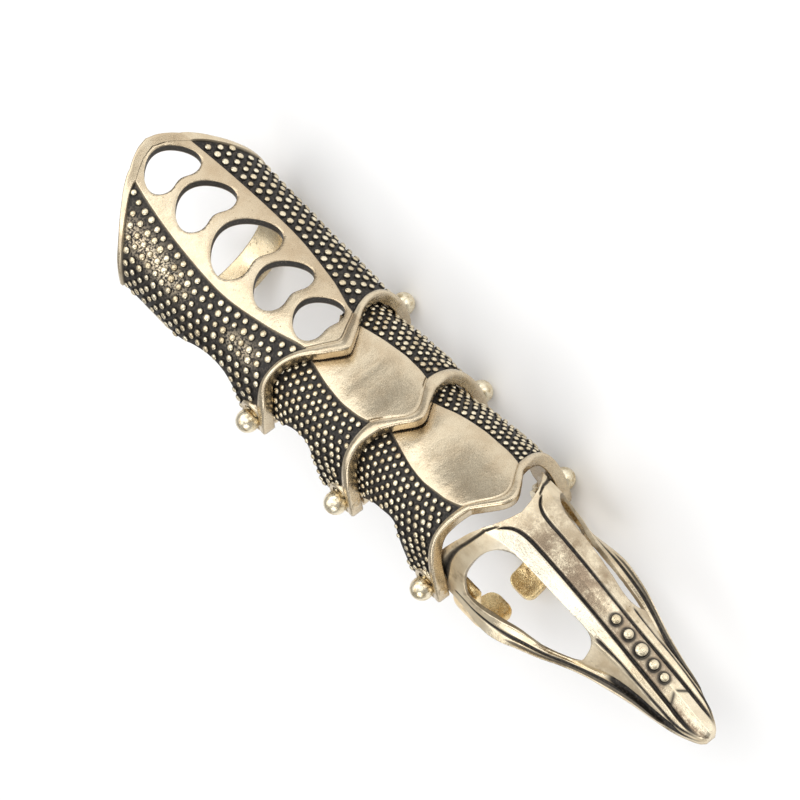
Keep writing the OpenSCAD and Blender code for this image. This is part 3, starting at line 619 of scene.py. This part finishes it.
# Edge: how far in from the radius and down from the face. Middle: radius and depth below the face
lugShape = {"bevel": 0.15, "edge": [[0, 0.25], [0.07, 0.08], [0.25, 0]],
            "middle": [[1.68, 0], [1.53, 0.08], [1.47, 0.25], [1.44, 0.33], [1.35, 0.35], [0, 0.35]]}
earShape = {"bevel": 0.1, "edge": [[0, 0.12], [0.12, 0]], "middle": [[0, 0]]}


# Profile of a disc, from its back's middle round its bevel and edge to its face's middle
def discProfile(shape, r, back, face):
    bevel = shape["bevel"]
    return np.concatenate([[[0, back], [r - bevel, back], [r, back + bevel]],
                           [r, face] - np.array(shape["edge"]),
                           [0, face] + np.array(shape["middle"]) * [1, -1]])


# Round lug with a cup for the rivet's head: a disc turned round the hinge
def lug(name, hinge, side, body):
    face = ring["lugFace"][hinge]
    profile = discProfile(lugShape, ring["lugRadius"], face - ring["relief"] - ring["wall"], face)
    return turned(name, ring["axes"][hinge], side, profile, plateGold, body)


# Plain ear under a lug: a flat disc turned round the hinge
def ear(name, hinge, r, side, body, finish):
    face = ring["earFace"][hinge]
    profile = discProfile(earShape, r, face - ring["wall"], face)
    return turned(name, ring["axes"][hinge], side, profile, finish, body)


sides = {"left": -1, "right": 1}
plates = [("knuckle_plate", knuckle, 0, "knuckle", None),
          ("middle_plate_rear", middleRear, 0, "middle_rear", lambda s: outlineX(knuckle, s, 4)),
          ("middle_plate_front", middleFront, 1, "middle_front",
           lambda s: outlineX(middleRear, s, 4) - pitch)]
for name, plate, hinge, body, coveredTo in plates:
    piece = plateShell(name + "_shell", plate, hinge, body)
    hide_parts(name)
    platePebbles(name + "_pebbles", plate, hinge, coveredTo, body)
    front = hinge if name == "knuckle_plate" else hinge + 1
    for word, side in sides.items():
        lug(f"{name}_lug_{word}", front, side, body)
        if name != "knuckle_plate":
            ear(f"{name}_ear_{word}", hinge, ring["earRadius"], side, body, plateGold)
    print("plate made:", name, len(piece.data.polygons), "faces")

# The closed band under the knuckle plate; its top is the plate itself, so the strap thins
# towards its ends, which lie inside the plate's wall
knuckleBand = {"bore": 17.0, "width": 4.0, "thickness": 1.0, "rear": -37.2, "edge": 0.22, "openTop": 31.0,
               "feathered": 0.1, "featherArc": 14.0, "sunk": 0.35}


# Rows of a strap's profile with a pole at each end, so that it is closed
def capped(points):
    poles = [np.broadcast_to(points[k].mean(0), points[k].shape) for k in (0, -1)]
    return np.concatenate([poles[:1], points, poles[1:]])


# Closed profile of a strap, (across, out): a rectangle whose corners are quarter circles of radius edge
def bandProfile(width, thickness, edge, count=5):
    a = np.linspace(0, np.pi / 2, count)
    corner = np.stack([np.sin(a), np.cos(a)], -1) * edge
    w, t = width / 2 - edge, thickness / 2 - edge
    turns = [np.array([w, t]) + corner, np.array([w, -t]) + corner[::-1] * [1, -1],
             np.array([-w, -t]) - corner, np.array([-w, t]) + corner[::-1] * [-1, 1]]
    loop = np.concatenate(turns)
    return np.concatenate([loop, loop[:1]])


# Profile carried round the bore: at angle a from below, every point lies at the bore's radius plus its own
# distance out, and near the ends that distance shrinks towards one line inside the wall
def makeKnuckleBand(b):
    p = bandProfile(b["width"], b["thickness"], b["edge"])
    end = np.radians(180 - b["openTop"])
    a = np.linspace(-end, end, 121)[:, None]
    whole = mix(b["feathered"], 1, smooth((end - np.abs(a)) / np.radians(b["featherArc"])))
    r = b["bore"] / 2 + b["thickness"] / 2 + mix(b["thickness"] / 2 + b["sunk"], p[:, 1], whole)
    middle = b["bore"] / 2 + b["thickness"]
    x = b["rear"] + b["width"] / 2 + p[:, 0] + 0 * a
    points = np.stack([x, r * np.sin(a), middle - r * np.cos(a)], -1)
    return tube("knuckle_band", capped(points)[:, ::-1], bandGold, "knuckle")


makeKnuckleBand(knuckleBand)
print("knuckle band made")

# Claw sections from the last axis: x, ridge height, then half width and height of the groove line,
# of the shoulder, of the side wall, of the flange's inner line and of its outer edge
claw = {
    "sections": [
        [-2, 11.5, 3.6, 11.25, 4.4, 10.75, 6.5, 8.6, 7.9, 2.4, 7.9, -0.6],
        [2, 11.6, 3.5, 11.35, 4.3, 10.9, 6.5, 8.6, 7.95, 2.2, 8, -0.6],
        [3.8, 11.65, 3.25, 11.35, 4.2, 10.95, 6.48, 8.6, 7.95, 2.1, 8.05, -0.6],
        [5, 11.7, 2.2, 11.55, 3.95, 11.05, 6.45, 8.6, 7.9, 2, 8.15, -0.6],
        [6, 11.7, 1.72, 11.6, 3.75, 11.05, 6.43, 8.55, 7.8, 1.95, 8.3, -0.6],
        [7.4, 11.7, 1.5, 11.55, 3.6, 11, 6.4, 8.5, 7.5, 1.9, 8.45, -0.45],
        [9, 11.55, 1.47, 11.4, 3.55, 10.85, 6.3, 8.35, 7.15, 1.95, 8.5, 0],
        [11, 11.2, 1.44, 11.05, 3.48, 10.55, 6.1, 8.1, 6.75, 2.25, 8.35, 1],
        [13, 10.8, 1.42, 10.65, 3.38, 10.05, 5.8, 7.8, 6.35, 2.6, 7.95, 2.2],
        [15.8, 10.15, 1.4, 9.95, 3.14, 9.2, 5.2, 7.2, 5.8, 3.2, 7.2, 3.3],
        [18, 9.55, 1.38, 9.35, 2.92, 8.45, 4.6, 6.9, 5.22, 3.95, 6.45, 4.15],
        [20.5, 8.85, 1.36, 8.65, 2.75, 7.9, 3.9, 6.5, 4.5, 4.55, 5.55, 4.55],
        [23.4, 8.1, 1.36, 7.85, 2.62, 7.45, 3.3, 6.2, 3.6, 4.95, 4.65, 4.55],
        [26.5, 7.35, 1.38, 7.05, 2.6, 6.8, 2.95, 5.9, 3, 5, 3.85, 4.6],
        [29.4, 6.55, 1.4, 6.2, 2.46, 6, 2.75, 5.4, 2.75, 4.9, 3.25, 4.55],
        [32, 5.8, 1.42, 5.35, 2.2, 5.2, 2.35, 4.9, 2.4, 4.65, 2.55, 4.4],
        [33.8, 5.35, 1.3, 5, 1.55, 4.85, 1.6, 4.6, 1.65, 4.4, 1.7, 4.2],
        [34.7, 5.1, 0.9, 4.9, 1, 4.75, 1.05, 4.5, 1.1, 4.3, 1.12, 4.15],
        [35.1, 4.75, 0.45, 4.7, 0.5, 4.6, 0.55, 4.45, 0.6, 4.3, 0.62, 4.2]],
    # place across, x of the rear edge, then how far ahead the rear groove starts and ends
    "rear": [
        [0, 4.45, 0.2, 0.6], [0.5, 4.05, 0.2, 0.6], [1, 3.42, 0.25, 0.7], [1.5, 3.1, 0.2, 0.65],
        [2, 2.8, 0.2, 0.65], [2.2, 2.05, 0.5, 1], [2.4, 1.3, 0.6, 1.15], [2.6, 0.45, 0.65, 1.3],
        [2.8, -0.37, 0.8, 1.8], [3, -0.9, 0.9, 2.6], [3.5, -1.1, 0.9, 2.6], [4, -1.2, 0.9, 2.6]],
    # side opening seen along its slanting cut: x and height
    "opening": [
        [4.5, -2.4], [3.85, -1.3], [3.54, 0], [3.7, 1.54], [4.17, 3.32], [4.99, 5.02], [6, 6.1],
        [7.25, 6.7], [8.5, 6.84], [9.9, 6.76], [12.6, 6.36], [15.8, 5.74], [17.8, 5.3], [18.8, 4.93],
        [19.4, 4.4], [19.7, 3.7], [19.75, 2.8], [19.6, 1.7], [19, 0.95], [17.6, 0.15], [14.6, -1.1],
        [11.6, -1.6], [9.4, -2.4], [7.5, -2.8], [6.3, -2.85], [5.2, -2.7]],
    "slant": 35.0, "tip": 35.1, "rows": 230, "ridgeGroove": [0.29, 0.32], "rearGroove": 0.30,
    # lines along it: place across, half width, depth, x where each starts, over what length, how dark
    "lines": [[2, 0.28, 0.3, 19.2, 1.2, 1], [3.45, 0.24, 0.12, 2.5, 1, 1], [3.75, 0.18, 0.08, 10, 3, 0.85]],
    "valley": [3, 0.55, 0.60, 20, 6.5],  # the same for the hollow between side and flange
    "wall": 1.4, "rearWall": 0.7, "thinFlange": 0.65, "thinSide": 0.45, "thinOpening": 0.55,
    "solidFrom": 18.0, "solidTo": 23.0, "solidBelow": 0.6,
    "beads": [19.7, 21.7, 23.8, 25.8, 27.5], "beadRadius": [0.62, 0.66, 0.84, 0.66, 0.58], "beadRise": 0.6,
    "chevron": 29.2,
}


# Claw section at x: ridge to groove line, on to the shoulder, a curved side wall and a flange, each one unit
# of s; the curve is pulled towards the table's side wall point as it goes from shoulder to flange
def clawHalf(x, s):
    a, b, c, d, e, g = (np.stack([along(x, claw["sections"], y) if y else 0 * x,
                                  along(x, claw["sections"], z)], -1)
                        for y, z in [(0, 1), (2, 3), (4, 5), (6, 7), (8, 9), (10, 11)])
    u = np.clip(s - np.floor(s), 0, 1)[..., None]
    s = s[..., None]
    curve = mix(mix(c, d, u), mix(d, e, u), u)
    return np.select([s < 1, s < 2, s < 3, s < 4], [mix(a, b, u), mix(b, c, u), curve, mix(e, g, u)], g)


# The section on both sides: y is turned over where s is below zero, on the left
def clawSurface(x, s):
    x, s = np.broadcast_arrays(x * 1.0, s * 1.0)
    p = clawHalf(x, np.abs(s))
    return np.stack([x, np.sign(s) * p[..., 0], p[..., 1]], -1)


# Closed curve through points: between two it is a cubic, whose slope at a point is half the way between the
# points on either side of it
def smoothOutline(points, per=8):
    p = np.asarray(points, float)
    k, u = np.arange(len(p) * per) // per, (np.arange(len(p) * per) % per / per)[:, None]
    a, b, c, d = (p[(k + j) % len(p)] for j in (-1, 0, 1, 2))
    return 0.5 * (2 * b + (c - a) * u + (2 * a - 5 * b + 4 * c - d) * u**2 + (3 * b - a - 3 * c + d) * u**3)


# x of the claw's rear edge at place s, and of where its rear groove starts and ends
def clawRear(s):
    edge, start, end = (along(np.abs(s), claw["rear"], column) for column in (1, 2, 3))
    return edge, edge + start, edge + end


# Claw: columns run across the section, rows from the rear edge through its groove to the tip. The outer grid
# is the section less its grooves; the inner one lies a wall inside, and falls to a flat sheet below the
# flanges towards the tip, which is solid
def makeClaw():
    fine = [0.80, 0.86, 0.90, 0.93, 0.96, 0.98, 1.0, 1.02, 1.05, 1.09, 1.14, 1.20]
    half = np.concatenate([np.linspace(0, 0.72, 10), fine, np.linspace(1.28, 1.74, 6),
                           [1.8, 1.86, 1.91, 1.95, 1.98, 2, 2.02, 2.05, 2.09, 2.14],
                           np.linspace(2.18, 2.86, 26), [2.89, 2.92, 2.95, 2.975, 3.0, 3.03, 3.06, 3.1],
                           np.linspace(3.16, 3.88, 16), [3.92, 3.955, 3.98, 4.0]])
    places = np.concatenate([-half[:0:-1], half])
    steps = [(0, t) for t in (0, 0.2, 0.5, 1)] + [(1, t) for t in (0.12, 0.3, 0.5, 0.7, 0.88)]
    zone, t = np.array(steps + [(2, t) for t in np.linspace(0, 1, claw["rows"])]).T[..., None]
    edge, grooveFrom, grooveTo = clawRear(places)
    x = np.select([zone == 0, zone == 1], [mix(edge, grooveFrom, t), mix(grooveFrom, grooveTo, t)],
                  mix(grooveTo, claw["tip"], t))
    slant = math.radians(claw["slant"])

    def flatten(p):  # seen along the opening's slanting cut
        return np.stack([p[..., 0], p[..., 2] * math.cos(slant) - np.abs(p[..., 1]) * math.sin(slant)], -1)

    x, s, side, depth = cutHoles(x, np.broadcast_to(places, x.shape), clawSurface, flatten,
                                 [smoothOutline(claw["opening"])])
    n = normalOf(clawSurface, x, s, 4, 0.03)
    base = clawSurface(x, s)
    a = np.abs(s)
    grooveFrom, grooveTo = clawRear(s)[1:]

    def groove(place, halfWidth):  # how deep in a groove along the line s = place, from 0 to 1
        away = np.linalg.norm(clawSurface(x, 0 * s + place)[..., 1:] - clawSurface(x, a)[..., 1:], axis=-1)
        return np.clip(1 - (away / halfWidth) ** 2, 0, 1)

    fade = np.clip((claw["tip"] - x) / 4, 0, 1)
    inRear = np.clip((x - grooveFrom) / np.maximum(grooveTo - grooveFrom, 0.1), 0, 1)
    rear = np.clip(4 * inRear * (1 - inRear), 0, 1) ** 0.5 * smooth((a - 0.9) / 0.1)
    ridgeHalf, ridgeDepth = claw["ridgeGroove"]
    ridge = groove(1, ridgeHalf) * smooth((x - grooveTo) / 0.3) * fade
    place, halfWidth, valleyDepth, start, over = claw["valley"]
    valley = groove(place, halfWidth) * smooth((x - start) / over)
    valley = valley * np.clip((claw["tip"] - 2 - x) / 3, 0, 1)
    beads = zip(claw["beads"], claw["beadRadius"])
    beadGap = np.min([np.hypot(x - beadX, base[..., 1]) - radius for beadX, radius in beads], 0)
    ringed = np.exp(-((beadGap - 0.06) / 0.18) ** 2) * (a < 1)
    chevron = np.exp(-((x - claw["chevron"] - 0.9 * a) / 0.22) ** 2) * (a < 0.92) * smooth(a / 0.2)
    cuts = [rear * claw["rearGroove"], ridge * ridgeDepth, valley * valleyDepth]
    creases = [rear, smooth(ridge / 0.5), smooth((valley - 0.25) / 0.25), ringed, chevron]
    for place, halfWidth, deep, start, over, dark in claw["lines"]:
        line = groove(place, halfWidth) * smooth((x - start) / over) * fade
        cuts.append(line * deep)
        creases.append(dark * smooth(line / 0.5))
    outer = base - n * np.maximum.reduce(cuts)[..., None]
    inward = normalOf(clawSurface, np.maximum(x, 0), s, 4, 0.4) * [0, 1, 1]
    inward /= np.maximum(np.linalg.norm(inward, axis=-1, keepdims=True), 1e-9)
    thin = np.where(x > 2.2, 1 - claw["thinFlange"] * np.maximum(0, a - 3), 1)
    thin = thin * (1 - claw["thinSide"] * smooth((a - 2.4) / 0.4) * smooth((x - 8) / 5))
    thin = thin * (1 - claw["thinOpening"] * (1 - smooth(-depth / 1.4)) * smooth((a - 2.6) / 0.3))
    thick = mix(claw["rearWall"], claw["wall"], np.clip((x - 4.5) / 3, 0, 1)) * thin
    edgeY, edgeZ = along(x, claw["sections"], 10), along(x, claw["sections"], 11)
    sheet = np.stack([x, edgeY * s / 4 * 0.97, edgeZ - claw["solidBelow"]], -1)
    solid = smooth((x - claw["solidFrom"]) / (claw["solidTo"] - claw["solidFrom"]))[..., None]
    inner = mix(base - thick[..., None] * inward, sheet, solid)
    left = smooth(-s / 0.3)
    onRidge = 1 - smooth((a - 0.9) / 0.1)
    # the strip's left half gets a painted highlight and its right half a painted shade
    strip = between(a, 1.05, 0.15, 2.8, 0.3) * between(x, 4, 2, 22, 5)  # over the opening
    nail = smooth((x - claw["chevron"] - 0.6) / 0.8) * onRidge  # the ridge past the chevron
    smudge = np.exp(-((x - 12.5) / 7.5) ** 4) * (1 - smooth((a - 0.75) / 0.4))  # the ridge's middle
    rough = between(x, 18, 2, 29, 1) * onRidge * 0.8  # round the beads
    # painted shade on the nail's left edge
    nailLeftShade = smooth((x - 29) / 2) * smooth((-s - 0.35) / 0.3) * (a < 1)  # the nail's left edge
    web = between(a, 2.1, 0.2, 3.0, 0.15) * smooth((x - 18) / 2)  # the side past the opening
    loop = smooth((a - 1.9) / 0.3) * smooth((9 - x) / 2)  # the side before the opening
    marks = {"field": 0 * x, "crease": np.maximum.reduce(creases),
             # polish: a painted highlight on the strip's left half, and on the nail a polish that is partly
             # a painted highlight
             "polishAndHighlight": np.maximum(strip * left, 0.4 * nail) * (1 - nailLeftShade),
             # stains on the ridge, round the beads and on the side, and painted shade on the strip's right
             # half and the nail's left edge
             "stainAndShade": np.maximum.reduce([0.9 * smudge, rough, nailLeftShade, 0.2 * web, 0.5 * strip * (1 - left)]),
             "satin": np.maximum(web, 0.8 * loop)}
    origin = np.array([ring["axes"][2], 0, ring["axisHeight"]])
    piece = shell("claw_shell", outer + origin, inner + origin, side, marks, clawGold, "claw")
    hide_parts("fingertip_claw")
    beadX, radii = np.array(claw["beads"]), np.array(claw["beadRadius"])
    up = normalOf(clawSurface, beadX, 0 * beadX, 4)
    domes("claw_beads", clawSurface(beadX, 0 * beadX) + origin, up, radii, radii * claw["beadRise"],
          0 * radii, pebbleGold, "claw", corners=20)
    for word, k in sides.items():
        ear("claw_ear_" + word, 2, ring["clawEarRadius"], k, "claw", clawGold)
    print("claw made:", len(piece.data.polygons), "faces")


makeClaw()

# Open fingertip band: a strap from one round tab, round the lower half circle and up to the claw's side
tipBand = {"bore": 12.0, "width": 3.8, "thickness": 1.0, "gap": 2.0, "rear": 13.3, "armTop": 12.5,
           "edge": 0.18, "corner": 1.1}


# Each strap is a profile carried along a path, from the gap up a quarter circle, then straight up; its rows
# are closer near the gap, where the profile narrows and so rounds the tab's corners
def makeTipBand(b):
    profile = bandProfile(1, b["thickness"], b["edge"])
    r, middle = b["bore"] / 2 + b["thickness"] / 2, b["bore"] / 2 + b["thickness"]
    start = math.asin(b["gap"] / 2 / r)
    a = start + (np.pi / 2 - start) * np.linspace(0, 1, 48) ** 1.6
    rise = np.linspace(middle, b["armTop"], 8)[1:]
    path = np.concatenate([np.stack([r * np.sin(a), middle - r * np.cos(a)], -1),
                           np.stack([r + 0 * rise, rise], -1)])
    out = np.concatenate([np.stack([np.sin(a), -np.cos(a)], -1), np.stack([1 + 0 * rise, 0 * rise], -1)])
    run = np.concatenate([[0], np.linalg.norm(np.diff(path, axis=0), axis=1).cumsum()])
    corner = b["corner"] * (1 - np.sqrt(1 - np.clip(1 - run / b["corner"], 0, 1) ** 2))
    share = 1 - 2 * corner / b["width"]
    for word, side in sides.items():
        across = b["rear"] + b["width"] / 2 + profile[:, 0] * b["width"] * share[:, None]
        y = side * (path[:, 0, None] + out[:, 0, None] * profile[:, 1])
        z = path[:, 1, None] + out[:, 1, None] * profile[:, 1]
        points = np.stack([across, y, z], -1)[:, ::side]
        tube("tip_band_" + word, capped(points), tabGold, "claw")


makeTipBand(tipBand)
print("tip band made")

# The rivets' heads are the CAD's own nodes
rivet = {"bright": (0.86, 0.77, 0.58), "dull": (0.55, 0.43, 0.25), "dullSize": 0.9, "grainSize": 0.3,
         "dentSize": 0.4, "roughness": 0.2, "bump": 0.04}


# Polished gold with dull clouds and small dents
def rivetFinish(r):
    f = Finish("rivetGold")
    metal = f.mix(f.step(f.noise(r["dullSize"], 3, 0.6), 0.45, 0.7), r["bright"], r["dull"])
    return f.done(Base_Color=metal, Metallic=1.0,
                  Roughness=r["roughness"] + f.noise(r["grainSize"], 3, 0.6) * 0.14,
                  Normal=f.bump(f.noise(r["dentSize"], 3, 0.6), r["bump"]))


rivetGold = rivetFinish(rivet)
for name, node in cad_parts.items():
    if name.startswith("rivet"):
        node.data.materials.clear()
        node.data.materials.append(rivetGold)
print("rivets finished")

camera = {"azimuth": 49.2, "elevation": 62.2, "distance": 600.0, "pixelsPerMillimetre": 9.1,
          "hingePixel": (325.8, 362.0), "imageSize": 800, "sensor": 36.0, "clip": (0.01, 10)}


# The camera stands at the photograph's angle to the worn ring and is turned with it as it lies; its shift
# puts the first hinge on the photograph's pixel
def placeCamera(c):
    a, e = math.radians(c["azimuth"]), math.radians(c["elevation"])
    back = lieTurn @ [math.sin(a) * math.cos(e), -math.cos(a) * math.cos(e), math.sin(e)]
    rightward = lieTurn @ [math.cos(a), math.sin(a), 0.0]
    upward = np.cross(back, rightward)
    target = lieTurn @ [0, 0, ring["axisHeight"]] + lieShift
    hinge = lieTurn @ [ring["axes"][0], 0, 0]
    scale = c["pixelsPerMillimetre"] * c["distance"] / (c["distance"] - hinge @ back)
    centre = (c["hingePixel"][0] - hinge @ rightward * scale, c["hingePixel"][1] + hinge @ upward * scale)
    data = bpy.data.cameras.new("photoCamera")
    data.sensor_width = c["sensor"]
    data.lens = c["pixelsPerMillimetre"] * c["distance"] * c["sensor"] / c["imageSize"]
    data.shift_x = (c["imageSize"] / 2 - centre[0]) / c["imageSize"]
    data.shift_y = (centre[1] - c["imageSize"] / 2) / c["imageSize"]
    data.clip_start, data.clip_end = c["clip"]
    eye = bpy.data.objects.new("photoCamera", data)
    bpy.context.scene.collection.objects.link(eye)
    turn = np.eye(4)
    turn[:3, 0], turn[:3, 1], turn[:3, 2] = rightward, upward, back
    turn[:3, 3] = (target + back * c["distance"]) * mm
    eye.matrix_world = Matrix(turn.tolist())
    bpy.context.scene.camera = eye


placeCamera(camera)
print("camera placed")

studio = {
    # place in millimetres, size, strength in watts
    "lamps": [((-160, 120, 260), 300, 0.46), ((200, -160, 240), 200, 0.36), ((-120, 310, 100), 240, 0.17),
              ((140, 320, 95), 200, 0.20), ((-125, -85, 290), 240, 0.22), ((72, 152, 292), 220, 0.21)],
    "aim": (0, 0, 10), "worldColour": (1, 1, 1), "worldStrength": 0.42,
    "floorReach": 2.5, "floorClouds": 60, "floorColours": [(0.93, 0.93, 0.93), (0.95, 0.95, 0.95)],
}


# Matt white with faint clouds
def floorFinish(s):
    f = Finish("studioFloor")
    return f.done(Base_Color=f.mix(f.noise(s["floorClouds"], 2, 0.5), *s["floorColours"]), Roughness=0.9)


# A square floor, square soft lamps that face the aim, and an even pale sky
def lightStudio(s):
    mesh = bpy.data.meshes.new("floor")
    reach = s["floorReach"]
    mesh.from_pydata([(-reach, -reach, 0), (reach, -reach, 0), (reach, reach, 0), (-reach, reach, 0)], [],
                     [(0, 1, 2, 3)])
    mesh.materials.append(floorFinish(s))
    floor = bpy.data.objects.new("floor", mesh)
    bpy.context.scene.collection.objects.link(floor)
    for k, (place, size, strength) in enumerate(s["lamps"]):
        lamp = bpy.data.lights.new(f"softbox{k}", "AREA")
        lamp.size, lamp.energy = size * mm, strength
        box = bpy.data.objects.new(f"softbox{k}", lamp)
        bpy.context.scene.collection.objects.link(box)
        z = np.array(place, float) - s["aim"]
        z /= np.linalg.norm(z)
        x = np.cross([0, 0, 1], z)
        x /= np.linalg.norm(x)
        turn = np.eye(4)
        turn[:3, 0], turn[:3, 1], turn[:3, 2], turn[:3, 3] = x, np.cross(z, x), z, np.array(place) * mm
        box.matrix_world = Matrix(turn.tolist())
    world = bpy.data.worlds.new("studio")
    world.use_nodes = True
    sky = world.node_tree.nodes["Background"]
    sky.inputs["Color"].default_value = (*s["worldColour"], 1)
    sky.inputs["Strength"].default_value = s["worldStrength"]
    bpy.context.scene.world = world
    bpy.context.scene.view_settings.view_transform = "Standard"


lightStudio(studio)
print("studio lit")

bpy.context.view_layer.update()
